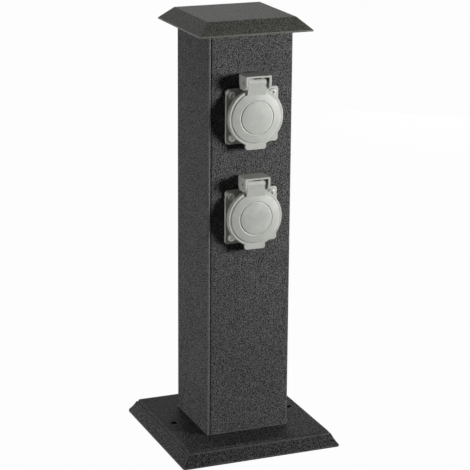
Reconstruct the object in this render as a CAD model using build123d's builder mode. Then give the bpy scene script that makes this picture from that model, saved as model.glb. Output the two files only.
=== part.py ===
from build123d import *
import os
from math import atan2, cos, degrees, pi, sin, sqrt

os.makedirs("parts", exist_ok=True)

# Garden socket post: a folded sheet column on a square cast base, with a pyramid cap and two
# splash-proof sockets under sprung lids. Z is up, X runs to the right along the front face and Y
# runs backwards. The origin is on the ground under the column's middle.

# Driving sizes of the post
total_height = 400.0
column_size = 80.0
base_size = 155.0
base_height = 14.0
cap_overhang = 13.5
cap_height = 12.0
upper_socket_drop = 85.5
socket_pitch = 92.0

# Clearances and overruns
screw_clearance = 0.2
slide_clearance = 0.3
hinge_clearance = 0.06
seat_clearance = 0.02
cut_overrun = 1.0

# Column
sheet = 1.5
bend_radius = 1.25
seam_gap = 0.3
return_flange_length = 12.0

# Base plate
base_lip = 1.2
base_corner_radius = 3.0
base_corner_square = 155.1
bevel_top_size = 142.4
bevel_top_height = 11.2
bevel_hollow = 0.5
ledge_width = 1.6
plateau_round = 1.5
base_web = 3.5
base_wall = 4.0
base_rib = 2.5
ring_rib_wall = 3.0
fixing_spacing = 116.0
fixing_hole_radius = 3.5
fixing_boss_radius = 8.0
lug_length = 30.0
lug_thickness = 3.0
lug_height = 8.0

# Cap
cap_rim = 1.2
cap_top_margin = 1.75
cap_wall = 2.5
cap_edge_wall = 2.6
cap_round = 1.0
cap_seal_thickness = 1.5
cap_lug_height = 9.0
cap_boss_radius = 5.0
cap_boss_height = 13.5

# Tie rods
rod_radius = 2.5
rod_inset = 7.0
rod_nut_flats = 8.0
rod_nut_height = 4.0
rod_washer_radius = 5.0
rod_washer_thickness = 1.0
rod_end = 1.2
rod_thread_depth = 10.0

# Cable gland
gland_x = 4.0
gland_y = -14.0
gland_thread_radius = 10.0
gland_bore_radius = 6.5
gland_flats = 24.0
gland_collar_height = 6.0
gland_neck_height = 9.0
gland_nut_height = 13.0
gland_nut_wall = 1.8
gland_mouth_radius = 6.8
gland_seal_height = 7.0
gland_seal_bore_radius = 5.2
gland_lock_flats = 26.0
gland_lock_height = 5.0

# Terminal block and its bracket
pole_pitch = 9.5
bracket_width = 46.0
bracket_sheet = 1.5
bracket_gap = 0.7
bracket_height = 66.0
bracket_foot = 11.0
bracket_bend = 2.5
bracket_screw_spacing = 30.0
bracket_screw_radius = 2.0
bracket_screw_head_radius = 3.5
bracket_screw_head = 2.4
block_width = 44.0
block_depth = 18.0
block_height = 24.0
block_base = 41.0
block_corner = 1.2
clamp_width = 7.0
clamp_depth = 10.0
clamp_inset = 3.0
clamp_recess = 2.0
clamp_slot_width = 3.0
clamp_screw_radius = 2.0
clamp_screw_rise = 5.5
clamp_screw_stand = 0.5
block_screw_radius = 1.5
block_screw_head_radius = 2.75
block_screw_head = 2.0
block_screw_inset = 3.5
block_nut_flats = 5.5
block_nut_height = 2.4
block_post_recess = 6.0

# Earth stud
stud_x = -20.0
stud_y = -16.0
stud_radius = 2.5
stud_length = 14.0
stud_head_radius = 4.5
stud_head_height = 2.0
stud_washer_radius = 5.0
stud_washer_thickness = 1.0
lug_ring_radius = 5.0
lug_tongue_thickness = 1.2
lug_barrel_radius = 2.2
lug_barrel_length = 8.0
lug_barrel_bore = 1.3

# Wires
wire_radius = 1.2
wire_grip = 6.0
wire_clear = 0.2
upper_wire_bend = 11.0
lower_wire_bend = 9.0
bond_wire_bend = 6.0

# Socket: distances out are measured from the column's front face, heights from the socket's centre
gasket_thickness = 0.8
flange_size = 50.0
flange_thickness = 2.2
flange_corner = 3.0
flange_edge_round = 0.5
flange_screw_spacing = 38.0
flange_screw_radius = 2.0
flange_screw_head_radius = 3.5
flange_screw_head = 2.0
flange_screw_recess = 1.2
flange_screw_key_flats = 3.2
flange_screw_length = 8.0
flange_nut_flats = 7.0
flange_nut_height = 3.2
collar_radius = 22.5
collar_out = 8.5
well_radius = 19.9
well_depth = 17.5
well_floor = 2.5
tube_radius = 21.8
tube_back = 16.0
panel_hole_clearance = 0.4
pin_hole_spacing = 19.0
pin_hole_radius = 2.8
key_width = 5.0
key_depth = 1.6
key_set_back = 3.0

# Hinge hood over the flange
hood_width = 24.0
hood_bottom = 25.0
hood_top = 38.0
hood_out = 18.0
hood_cheek = 2.0
hood_plate = 1.6
hood_corner = 6.0
pin_up = 31.8
pin_out = 12.0
pin_radius = 1.5
pin_recess = 0.8

# Lid
lid_radius = 26.0
lid_back_out = 8.6
lid_rim_out = 12.5
lid_rim_round = 0.5
lid_rim_inner = 23.2
lid_web_out = 10.0
lid_step_radius = 22.8
lid_step_slope = 0.6
lid_step_out = 13.3
lid_crown_out = 15.6
lid_crown_flat = 3.0
lid_wall = 2.0
lid_inner_radius = 19.8
groove_radius = 15.3
groove_tool_radius = 0.9
groove_depth = 0.4
tongue_width = 18.0
tongue_front_out = 15.4
tongue_foot_up = 20.5
tongue_front_up = 27.5
tongue_flare = 3.0
tongue_flare_up = 26.8
tongue_flare_foot_up = 22.6
tongue_flare_hollow = 0.8
barrel_radius = 4.3
tab_width = 19.4
tab_reach = 29.0
tab_corner = 2.0
lid_gasket_inner = 20.4
lid_gasket_gap = 0.15

# Lid spring
spring_wire_radius = 0.35
spring_radius = 2.3
spring_turns = 4.25
spring_pitch = 1.15
spring_pocket_width = 8.0
spring_pocket_radius = 3.2
spring_leg_reach = 6.0

# Contacts behind the well's floor
carrier_radius = 19.5
carrier_depth = 12.5
carrier_bore_radius = 3.1
contact_radius = 2.9
contact_bore_radius = 2.45
contact_set_back = 0.5
contact_length = 10.0
terminal_size = 7.0
terminal_length = 9.0
terminal_screw_radius = 1.75
terminal_screw_stand = 2.0
terminal_screw_set_back = 3.0
earth_strip_width = 7.0
earth_strip = 0.8
earth_finger_up = 18.7
earth_finger_out = 3.5
earth_tip_out = 7.3
earth_tip_lean = 0.9
earth_terminal_up = 12.0
centre_screw_radius = 1.75
centre_screw_head_radius = 3.2
centre_screw_head = 2.0
centre_screw_slot = 0.9
rear_cover_wall = 1.8
rear_cover_back = 38.0
rear_cover_boss_radius = 4.0
bush_hole_radius = 3.0
bush_flange_radius = 4.2
bush_flange = 1.2

# Heights and places that follow from the driving sizes
half_column = column_size / 2
cap_bottom = total_height - cap_height
cap_web_height = total_height - cap_wall
column_top = cap_web_height - cap_seal_thickness
cavity_height = base_height - base_web
inner_half = half_column - sheet
lug_half = inner_half - slide_clearance
upper_socket_height = total_height - upper_socket_drop
lower_socket_height = upper_socket_height - socket_pitch
socket_heights = {"upper": upper_socket_height, "lower": lower_socket_height}
cap_size = column_size + 2 * cap_overhang
cap_top_size = column_size + 2 * cap_top_margin
rod_x = inner_half - rod_inset
bracket_front_y = lug_half - lug_thickness - bracket_gap - bracket_sheet


def socket_face(height):
    """Plane of the column's front face at one socket: x to the right, y up, z out of the face."""
    return Plane(origin=(0, -half_column, height), x_dir=(1, 0, 0), z_dir=(0, -1, 0))


def socket_side(height):
    """Plane through one socket's middle for side outlines: x out of the face, y up."""
    return Plane(origin=(0, -half_column, height), x_dir=(0, -1, 0), z_dir=(-1, 0, 0))


def discs(plane, places, radius):
    """Sketch of equal discs at the places on a plane."""
    with BuildSketch(plane) as sketch:
        with Locations(*places):
            Circle(radius)
    return sketch.sketch


def hexagons(plane, places, flats):
    """Sketch of equal hexagons at the places on a plane."""
    with BuildSketch(plane) as sketch:
        with Locations(*places):
            RegularPolygon(flats / 2, 6, major_radius=False)
    return sketch.sketch


def add_head_screws(plane, places, head_radius, head, shank_radius, length, key_flats):
    """Cylinder-head screws with a hexagon key hole, heads standing on the plane."""
    extrude(discs(plane, places, head_radius), amount=head)
    extrude(discs(plane, places, shank_radius), amount=-length)
    extrude(hexagons(plane.offset(head), places, key_flats), amount=-head / 2, mode=Mode.SUBTRACT)


def add_nuts(plane, places, flats, height, bore_radius):
    """Hexagon nuts standing on the plane."""
    extrude(hexagons(plane, places, flats), amount=height)
    extrude(discs(plane, places, bore_radius), amount=height, mode=Mode.SUBTRACT)


def wall_lugs(half_size):
    """Four short lugs that stand inside the column's walls, their outer faces at half_size."""
    middle = half_size - lug_thickness / 2
    with Locations((0, middle), (0, -middle)):
        Rectangle(lug_length, lug_thickness)
    with Locations((middle, 0), (-middle, 0)):
        Rectangle(lug_thickness, lug_length)


# Base plate: cast square pedestal, hollow underneath. A bevel with a shallow cove rises to a ledge,
# and a rounded riser carries the flat top that the column stands on.
rod_places = [(-rod_x, 0), (rod_x, 0)]
fixing_places = [(-fixing_spacing / 2, 0), (fixing_spacing / 2, 0)]
bracket_screw_y = bracket_front_y - bracket_foot / 2
bracket_screw_places = [
    (-bracket_screw_spacing / 2, bracket_screw_y),
    (bracket_screw_spacing / 2, bracket_screw_y),
]
half_base = base_size / 2
half_bevel = bevel_top_size / 2
half_riser = half_bevel - ledge_width
bevel_angle = degrees(atan2(half_base - half_bevel, bevel_top_height))


def base_side(plane):
    """Sketch of the base plate's outline, seen from one side."""
    with BuildSketch(plane) as outline:
        with BuildLine():
            SagittaArc((-half_bevel, bevel_top_height), (-half_base, base_lip), bevel_hollow)
            Polyline((-half_base, base_lip), (-half_base, 0), (half_base, 0), (half_base, base_lip))
            SagittaArc((half_base, base_lip), (half_bevel, bevel_top_height), bevel_hollow)
            Polyline(
                (half_bevel, bevel_top_height),
                (half_riser, bevel_top_height),
                (half_riser, base_height),
                (-half_riser, base_height),
                (-half_riser, bevel_top_height),
                (-half_bevel, bevel_top_height),
            )
        make_face()
    return outline.sketch


with BuildPart() as base_plate:
    extrude(base_side(Plane.XZ.offset(-half_base)), amount=base_size)
    extrude(base_side(Plane.YZ.offset(-half_base)), amount=base_size, mode=Mode.INTERSECT)
    with BuildSketch():
        RectangleRounded(base_corner_square, base_corner_square, base_corner_radius)
    extrude(amount=base_height, mode=Mode.INTERSECT)
    fillet(base_plate.edges().group_by(Axis.Z)[-1], plateau_round)
    with BuildSketch():
        Rectangle(base_size - 2 * base_wall, base_size - 2 * base_wall)
    extrude(amount=cavity_height, taper=bevel_angle, mode=Mode.SUBTRACT)
    with BuildSketch():
        Rectangle(column_size, column_size)
        Rectangle(column_size - 2 * ring_rib_wall, column_size - 2 * ring_rib_wall, mode=Mode.SUBTRACT)
        with Locations(*fixing_places):
            Circle(fixing_boss_radius)
    extrude(amount=cavity_height)
    rib_length = half_riser - half_column + ring_rib_wall
    rib_middle = half_column - ring_rib_wall + rib_length / 2
    with BuildSketch():
        with PolarLocations(rib_middle, 4):
            Rectangle(rib_length, base_rib)
        with PolarLocations(rib_middle * sqrt(2), 4, start_angle=45):
            Rectangle(rib_length * sqrt(2), base_rib)
    extrude(amount=cavity_height)
    with BuildSketch(Plane.XY.offset(base_height)):
        wall_lugs(lug_half)
    extrude(amount=lug_height)
    with BuildSketch(Plane.XY.offset(base_height)):
        with Locations(*fixing_places):
            Circle(fixing_hole_radius)
        with Locations(*rod_places):
            Circle(rod_radius + screw_clearance)
        with Locations((gland_x, gland_y)):
            Circle(gland_thread_radius + screw_clearance)
        with Locations((stud_x, stud_y)):
            Circle(stud_radius + seat_clearance)
        with Locations(*bracket_screw_places):
            Circle(bracket_screw_radius + screw_clearance)
    extrude(amount=-(base_height + cut_overrun), mode=Mode.SUBTRACT)

base_plate.part.label = "base_plate"
export_step(base_plate.part, "parts/base_plate.step")

# Column: one sheet folded into a square tube. The front wall's end turns in behind the left wall,
# so the left wall's cut edge and a narrow groove show at the front-left corner.
wall_line = half_column - sheet / 2
return_line = half_column - sheet - seam_gap - sheet / 2
panel_hole_radius = tube_radius + panel_hole_clearance

with BuildPart() as column:
    with BuildSketch(Plane.XY.offset(base_height)):
        with BuildLine():
            FilletPolyline(
                (-wall_line, -half_column),
                (-wall_line, wall_line),
                (wall_line, wall_line),
                (wall_line, -wall_line),
                (-return_line, -wall_line),
                (-return_line, return_flange_length - half_column),
                radius=bend_radius,
            )
        trace(line_width=sheet)
    extrude(amount=column_top - base_height)
    for height in socket_heights.values():
        with BuildSketch(socket_face(height).offset(cut_overrun)):
            Circle(panel_hole_radius)
            with GridLocations(flange_screw_spacing, flange_screw_spacing, 2, 2):
                Circle(flange_screw_radius + screw_clearance)
        extrude(amount=-(sheet + 2 * cut_overrun), mode=Mode.SUBTRACT)

column.part.label = "column"
export_step(column.part, "parts/column.step")

# Cap: cast roof with sloping sides that overhang the column, open underneath. Lugs inside the
# column's top hold it square, and two bosses take the tie rods.
cap_slope = degrees(atan2((cap_size - cap_top_size) / 2, cap_height - cap_rim))

with BuildPart() as cap:
    with BuildSketch(Plane.XY.offset(cap_bottom)):
        Rectangle(cap_size, cap_size)
    extrude(amount=cap_rim)
    with BuildSketch(Plane.XY.offset(cap_bottom + cap_rim)):
        Rectangle(cap_size, cap_size)
    extrude(amount=cap_height - cap_rim, taper=cap_slope)
    fillet(cap.edges().filter_by(GeomType.LINE).group_by(Axis.Z)[-1], cap_round)
    with BuildSketch(Plane.XY.offset(cap_bottom)):
        Rectangle(cap_size - 2 * cap_edge_wall, cap_size - 2 * cap_edge_wall)
    extrude(amount=cap_height - cap_wall, taper=cap_slope, mode=Mode.SUBTRACT)
    with BuildSketch(Plane.XY.offset(cap_web_height)):
        wall_lugs(lug_half)
    extrude(amount=-cap_lug_height)
    with BuildSketch(Plane.XY.offset(cap_web_height)):
        with Locations(*rod_places):
            Circle(cap_boss_radius)
    extrude(amount=-cap_boss_height)
    with BuildSketch(Plane.XY.offset(cap_web_height - cap_boss_height)):
        with Locations(*rod_places):
            Circle(rod_radius + seat_clearance)
    extrude(amount=rod_thread_depth + rod_end, mode=Mode.SUBTRACT)

cap.part.label = "cap"
export_step(cap.part, "parts/cap.step")

# Cap seal: soft square ring between the column's top edge and the cap's underside.
with BuildPart() as cap_seal:
    with BuildSketch(Plane.XY.offset(column_top)):
        Rectangle(column_size, column_size)
        Rectangle(2 * inner_half - seam_gap, 2 * inner_half - seam_gap, mode=Mode.SUBTRACT)
    extrude(amount=cap_seal_thickness)

cap_seal.part.label = "cap_seal"
export_step(cap_seal.part, "parts/cap_seal.step")

# Tie rods: threaded rods that pull the cap down on the column. Their nuts and washers sit in the
# base's hollow.
rod_bottom = cavity_height - rod_washer_thickness - rod_nut_height - rod_end
rod_top = cap_web_height - cap_boss_height + rod_thread_depth

with BuildPart() as tie_rods:
    with BuildSketch(Plane.XY.offset(rod_bottom)):
        with Locations(*rod_places):
            Circle(rod_radius)
    extrude(amount=rod_top - rod_bottom)

tie_rods.part.label = "tie_rods"
export_step(tie_rods.part, "parts/tie_rods.step")

with BuildPart() as tie_rod_washers:
    with BuildSketch(Plane.XY.offset(cavity_height)):
        with Locations(*rod_places):
            Circle(rod_washer_radius)
            Circle(rod_radius + screw_clearance, mode=Mode.SUBTRACT)
    extrude(amount=-rod_washer_thickness)

tie_rod_washers.part.label = "tie_rod_washers"
export_step(tie_rod_washers.part, "parts/tie_rod_washers.step")

with BuildPart() as tie_rod_nuts:
    add_nuts(
        Plane.XY.offset(rod_bottom + rod_end),
        rod_places,
        rod_nut_flats,
        rod_nut_height,
        rod_radius + seat_clearance,
    )

tie_rod_nuts.part.label = "tie_rod_nuts"
export_step(tie_rod_nuts.part, "parts/tie_rod_nuts.step")

# Cable gland: threaded body with a hexagon collar on the base, a lock nut under it, and a dome nut
# that presses a rubber seal round the supply cable.
gland_top = base_height + gland_collar_height
gland_foot = cavity_height - gland_lock_height - rod_end
gland_place = [(gland_x, gland_y)]
gland_neck_radius = gland_flats / 2 - gland_nut_wall - screw_clearance

with BuildPart() as gland_body:
    with BuildSketch(Plane.XY.offset(base_height)):
        with Locations(*gland_place):
            RegularPolygon(gland_flats / 2, 6, major_radius=False)
    extrude(amount=gland_collar_height)
    with BuildSketch(Plane.XY.offset(gland_top)):
        with Locations(*gland_place):
            Circle(gland_neck_radius)
    extrude(amount=gland_neck_height)
    with BuildSketch(Plane.XY.offset(gland_foot)):
        with Locations(*gland_place):
            Circle(gland_thread_radius)
    extrude(amount=base_height - gland_foot)
    with BuildSketch(Plane.XY.offset(gland_foot)):
        with Locations(*gland_place):
            Circle(gland_bore_radius)
    extrude(amount=gland_top + gland_neck_height - gland_foot, mode=Mode.SUBTRACT)
    with BuildSketch(Plane.XY.offset(gland_top + gland_neck_height)):
        with Locations(*gland_place):
            Circle(gland_bore_radius + gland_nut_wall)
    extrude(amount=-gland_seal_height, mode=Mode.SUBTRACT)

gland_body.part.label = "gland_body"
export_step(gland_body.part, "parts/gland_body.step")

with BuildPart() as gland_lock_nut:
    add_nuts(
        Plane.XY.offset(cavity_height - gland_lock_height),
        gland_place,
        gland_lock_flats,
        gland_lock_height,
        gland_thread_radius + seat_clearance,
    )

gland_lock_nut.part.label = "gland_lock_nut"
export_step(gland_lock_nut.part, "parts/gland_lock_nut.step")

with BuildPart() as gland_seal:
    with BuildSketch(Plane.XY.offset(gland_top + gland_neck_height)):
        with Locations(*gland_place):
            Circle(gland_bore_radius + gland_nut_wall - screw_clearance)
            Circle(gland_seal_bore_radius, mode=Mode.SUBTRACT)
    extrude(amount=-gland_seal_height)

gland_seal.part.label = "gland_seal"
export_step(gland_seal.part, "parts/gland_seal.step")

with BuildPart() as gland_dome_nut:
    with BuildSketch(Plane.XY.offset(gland_top + screw_clearance)):
        with Locations(*gland_place):
            RegularPolygon(gland_flats / 2, 6, major_radius=False)
    extrude(amount=gland_nut_height)
    fillet(gland_dome_nut.edges().group_by(Axis.Z)[-1], gland_nut_wall)
    with BuildSketch(Plane.XY.offset(gland_top + screw_clearance)):
        with Locations(*gland_place):
            Circle(gland_neck_radius + seat_clearance)
    extrude(amount=gland_neck_height, mode=Mode.SUBTRACT)
    with BuildSketch(Plane.XY.offset(gland_top)):
        with Locations(*gland_place):
            Circle(gland_mouth_radius)
    extrude(amount=gland_nut_height + cut_overrun, mode=Mode.SUBTRACT)

gland_dome_nut.part.label = "gland_dome_nut"
export_step(gland_dome_nut.part, "parts/gland_dome_nut.step")

# Terminal bracket: folded sheet angle on the base that carries the terminal block.
block_front_y = bracket_front_y - block_depth
block_top = block_base + block_height
block_screw_x = block_width / 2 - block_screw_inset
block_middle = block_base + block_height / 2
block_back = Plane(origin=(0, bracket_front_y, 0), x_dir=(1, 0, 0), z_dir=(0, -1, 0))
block_screw_places = [(-block_screw_x, block_middle), (block_screw_x, block_middle)]

with BuildPart() as terminal_bracket:
    with BuildSketch(Plane.YZ) as bracket_side:
        with BuildLine():
            FilletPolyline(
                (bracket_front_y + bracket_sheet / 2, base_height + bracket_height),
                (bracket_front_y + bracket_sheet / 2, base_height + bracket_sheet / 2),
                (bracket_front_y - bracket_foot, base_height + bracket_sheet / 2),
                radius=bracket_bend,
            )
        trace(line_width=bracket_sheet)
    extrude(amount=bracket_width / 2, both=True)
    with BuildSketch(Plane.XY.offset(base_height)):
        with Locations(*bracket_screw_places):
            Circle(bracket_screw_radius + screw_clearance)
    extrude(amount=bracket_sheet + cut_overrun, mode=Mode.SUBTRACT)
    with BuildSketch(block_back):
        with Locations(*block_screw_places):
            Circle(block_screw_radius + screw_clearance)
    extrude(amount=-(bracket_sheet + cut_overrun), mode=Mode.SUBTRACT)

terminal_bracket.part.label = "terminal_bracket"
export_step(terminal_bracket.part, "parts/terminal_bracket.step")

with BuildPart() as bracket_screws:
    add_head_screws(
        Plane.XY.offset(base_height + bracket_sheet),
        bracket_screw_places,
        bracket_screw_head_radius,
        bracket_screw_head,
        bracket_screw_radius,
        bracket_sheet + base_web,
        bracket_screw_radius,
    )

bracket_screws.part.label = "bracket_screws"
export_step(bracket_screws.part, "parts/bracket_screws.step")

# Terminal block: three-pole moulded block. Each pole is a brass clamp in a pocket, with one screw
# for the supply below and one for the pair of socket wires above.
clamp_front_y = block_front_y + clamp_inset
clamp_middle_y = clamp_front_y + clamp_depth / 2
clamp_height = block_height - 2 * clamp_recess
pole_places = [(-pole_pitch, clamp_middle_y), (0, clamp_middle_y), (pole_pitch, clamp_middle_y)]
clamp_screw_places = [
    (pole * pole_pitch, block_middle + side * clamp_screw_rise)
    for pole in (-1, 0, 1)
    for side in (-1, 1)
]

with BuildPart() as terminal_block:
    with BuildSketch(block_back):
        with Locations((0, block_middle)):
            Rectangle(block_width, block_height)
    extrude(amount=block_depth)
    fillet(terminal_block.edges().filter_by(Axis.Y), block_corner)
    with BuildSketch(Plane.XY.offset(block_base)):
        with Locations(*pole_places):
            Rectangle(clamp_width + 2 * screw_clearance, clamp_depth + 2 * screw_clearance)
    extrude(amount=block_height, mode=Mode.SUBTRACT)
    with BuildSketch(block_back.offset(block_depth)):
        with Locations(*clamp_screw_places):
            Circle(clamp_screw_radius + screw_clearance)
    extrude(amount=-(clamp_inset + cut_overrun), mode=Mode.SUBTRACT)
    with BuildSketch(block_back.offset(block_depth)):
        with Locations(*block_screw_places):
            Circle(block_screw_radius + screw_clearance)
    extrude(amount=-block_depth, mode=Mode.SUBTRACT)
    with BuildSketch(block_back.offset(block_depth)):
        with Locations(*block_screw_places):
            Circle(block_screw_head_radius + screw_clearance)
    extrude(amount=-block_post_recess, mode=Mode.SUBTRACT)

terminal_block.part.label = "terminal_block"
export_step(terminal_block.part, "parts/terminal_block.step")

wire_pair_depth = 4 * wire_radius + 2 * wire_clear
front_wire_y = clamp_middle_y - wire_radius - wire_clear / 2
rear_wire_y = clamp_middle_y + wire_radius + wire_clear / 2

with BuildPart() as terminal_clamps:
    with BuildSketch(Plane.XY.offset(block_base + clamp_recess)):
        with Locations(*pole_places):
            Rectangle(clamp_width, clamp_depth)
            Rectangle(clamp_slot_width, wire_pair_depth + wire_clear, mode=Mode.SUBTRACT)
    extrude(amount=clamp_height)
    with BuildSketch(block_back.offset(bracket_front_y - clamp_front_y)):
        with Locations(*clamp_screw_places):
            Circle(clamp_screw_radius + seat_clearance)
    extrude(amount=-clamp_depth / 2, mode=Mode.SUBTRACT)

terminal_clamps.part.label = "terminal_clamps"
export_step(terminal_clamps.part, "parts/terminal_clamps.step")

clamp_screw_tip_y = front_wire_y - wire_radius - wire_clear / 2
clamp_screw_head_y = clamp_front_y - clamp_screw_stand

with BuildPart() as clamp_screws:
    with BuildSketch(block_back.offset(bracket_front_y - clamp_screw_tip_y)):
        with Locations(*clamp_screw_places):
            Circle(clamp_screw_radius)
    extrude(amount=clamp_screw_tip_y - clamp_screw_head_y)
    with BuildSketch(block_back.offset(bracket_front_y - clamp_screw_head_y)):
        with Locations(*clamp_screw_places):
            Rectangle(2 * clamp_screw_radius, clamp_screw_stand)
    extrude(amount=-clamp_screw_stand, mode=Mode.SUBTRACT)

clamp_screws.part.label = "clamp_screws"
export_step(clamp_screws.part, "parts/clamp_screws.step")

with BuildPart() as block_screws:
    add_head_screws(
        block_back.offset(block_depth - block_post_recess),
        block_screw_places,
        block_screw_head_radius,
        block_screw_head,
        block_screw_radius,
        block_depth - block_post_recess + bracket_sheet + block_nut_height,
        block_screw_radius,
    )

block_screws.part.label = "block_screws"
export_step(block_screws.part, "parts/block_screws.step")

with BuildPart() as block_nuts:
    add_nuts(
        block_back.offset(-bracket_sheet - block_nut_height),
        block_screw_places,
        block_nut_flats,
        block_nut_height,
        block_screw_radius + seat_clearance,
    )

block_nuts.part.label = "block_nuts"
export_step(block_nuts.part, "parts/block_nuts.step")

# Earth stud: pressed into the base from below, with a washer, the bond wire's ring lug and a nut.
stud_place = [(stud_x, stud_y)]
stud_top = base_height + stud_length
lug_floor = base_height + stud_washer_thickness

with BuildPart() as earth_stud:
    with BuildSketch(Plane.XY.offset(cavity_height - stud_head_height)):
        with Locations(*stud_place):
            Circle(stud_head_radius)
    extrude(amount=stud_head_height)
    with BuildSketch(Plane.XY.offset(cavity_height)):
        with Locations(*stud_place):
            Circle(stud_radius)
    extrude(amount=stud_top - cavity_height)

earth_stud.part.label = "earth_stud"
export_step(earth_stud.part, "parts/earth_stud.step")

with BuildPart() as earth_washer:
    with BuildSketch(Plane.XY.offset(base_height)):
        with Locations(*stud_place):
            Circle(stud_washer_radius)
            Circle(stud_radius + screw_clearance, mode=Mode.SUBTRACT)
    extrude(amount=stud_washer_thickness)

earth_washer.part.label = "earth_washer"
export_step(earth_washer.part, "parts/earth_washer.step")

lug_barrel_start_y = stud_y + lug_ring_radius - lug_tongue_thickness
lug_barrel_end_y = lug_barrel_start_y + lug_barrel_length
lug_barrel_height = lug_floor + lug_barrel_radius
lug_barrel_plane = Plane(
    origin=(stud_x, lug_barrel_start_y, lug_barrel_height), x_dir=(-1, 0, 0), z_dir=(0, 1, 0)
)

with BuildPart() as earth_lug:
    with BuildSketch(Plane.XY.offset(lug_floor)):
        with Locations(*stud_place):
            Circle(lug_ring_radius)
            Circle(stud_radius + screw_clearance, mode=Mode.SUBTRACT)
    extrude(amount=lug_tongue_thickness)
    with BuildSketch(lug_barrel_plane):
        Circle(lug_barrel_radius)
    extrude(amount=lug_barrel_length)
    with BuildSketch(lug_barrel_plane.offset(lug_barrel_length)):
        Circle(lug_barrel_bore)
    extrude(amount=lug_tongue_thickness - lug_barrel_length, mode=Mode.SUBTRACT)
    with BuildSketch(Plane.XY.offset(lug_floor + lug_tongue_thickness)):
        with Locations(*stud_place):
            Circle(lug_ring_radius)
    extrude(amount=stud_length, mode=Mode.SUBTRACT)

earth_lug.part.label = "earth_lug"
export_step(earth_lug.part, "parts/earth_lug.step")

with BuildPart() as earth_nut:
    add_nuts(
        Plane.XY.offset(lug_floor + lug_tongue_thickness),
        stud_place,
        rod_nut_flats,
        rod_nut_height,
        stud_radius + seat_clearance,
    )

earth_nut.part.label = "earth_nut"
export_step(earth_nut.part, "parts/earth_nut.step")

# Earth bond wire: from the block's earth pole down to the ring lug on the stud.
clamp_bottom = block_base + clamp_recess
bond_points = [
    (0, front_wire_y, clamp_bottom + wire_grip),
    (0, front_wire_y, (clamp_bottom + lug_barrel_height) / 2),
    (stud_x, front_wire_y, lug_barrel_height),
    (stud_x, lug_barrel_end_y - lug_barrel_length + 2 * lug_tongue_thickness, lug_barrel_height),
]

with BuildPart() as earth_bond_wire:
    with BuildLine() as bond_route:
        FilletPolyline(*bond_points, radius=bond_wire_bend)
    with BuildSketch(Plane(origin=bond_points[0], z_dir=(0, 0, -1))):
        Circle(wire_radius)
    sweep(path=bond_route.line)

earth_bond_wire.part.label = "earth_bond_wire"
export_step(earth_bond_wire.part, "parts/earth_bond_wire.step")

# Socket wires: each rises from its pole and turns forward through the rear cover into its terminal.
floor_front_out = collar_out - well_depth
floor_back_out = floor_front_out - well_floor
carrier_back_out = floor_back_out - carrier_depth
terminal_back_out = carrier_back_out - terminal_length
wire_end_y = -half_column - (terminal_back_out + wire_grip)
wire_bottom = block_top - clamp_recess - wire_grip
pole_heights = {"line": 0, "neutral": 0, "earth": -earth_terminal_up}
pole_sides = {"line": -1, "neutral": 1, "earth": 0}
wire_routes = {
    "upper": (rear_wire_y, upper_wire_bend),
    "lower": (front_wire_y, lower_wire_bend),
}

for place, (rise_y, bend) in wire_routes.items():
    for pole, side in pole_sides.items():
        wire_x = side * pole_pitch
        entry_height = socket_heights[place] + pole_heights[pole]
        with BuildPart() as socket_wire:
            with BuildLine() as wire_route:
                FilletPolyline(
                    (wire_x, rise_y, wire_bottom),
                    (wire_x, rise_y, entry_height),
                    (wire_x, wire_end_y, entry_height),
                    radius=bend,
                )
            with BuildSketch(Plane.XY.offset(wire_bottom)):
                with Locations((wire_x, rise_y)):
                    Circle(wire_radius)
            sweep(path=wire_route.line)
        socket_wire.part.label = f"{place}_{pole}_wire"
        export_step(socket_wire.part, f"parts/{place}_{pole}_wire.step")

# The two sockets are alike: a frame with its hinge hood, a sprung lid, and the contacts behind.
crown_rise = lid_crown_out - lid_step_out
crown_reach = lid_step_radius - lid_crown_flat
crown_radius = (crown_reach**2 + crown_rise**2) / (2 * crown_rise)
flange_front = gasket_thickness + flange_thickness
flange_screw_half = flange_screw_spacing / 2
flange_screw_places = [
    (across * flange_screw_half, up * flange_screw_half) for across in (-1, 1) for up in (-1, 1)
]
contact_places = [(-pin_hole_spacing / 2, 0), (pin_hole_spacing / 2, 0)]
earth_place = (0, -earth_terminal_up)
terminal_places = contact_places + [earth_place]
strip_out = floor_back_out - screw_clearance - earth_strip / 2
cover_floor_out = rear_cover_wall - rear_cover_back


def crown_out(radius):
    """How far out the lid's crown stands at a radius from its middle."""
    return lid_crown_out - crown_radius + sqrt(crown_radius**2 - (radius - lid_crown_flat) ** 2)


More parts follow.
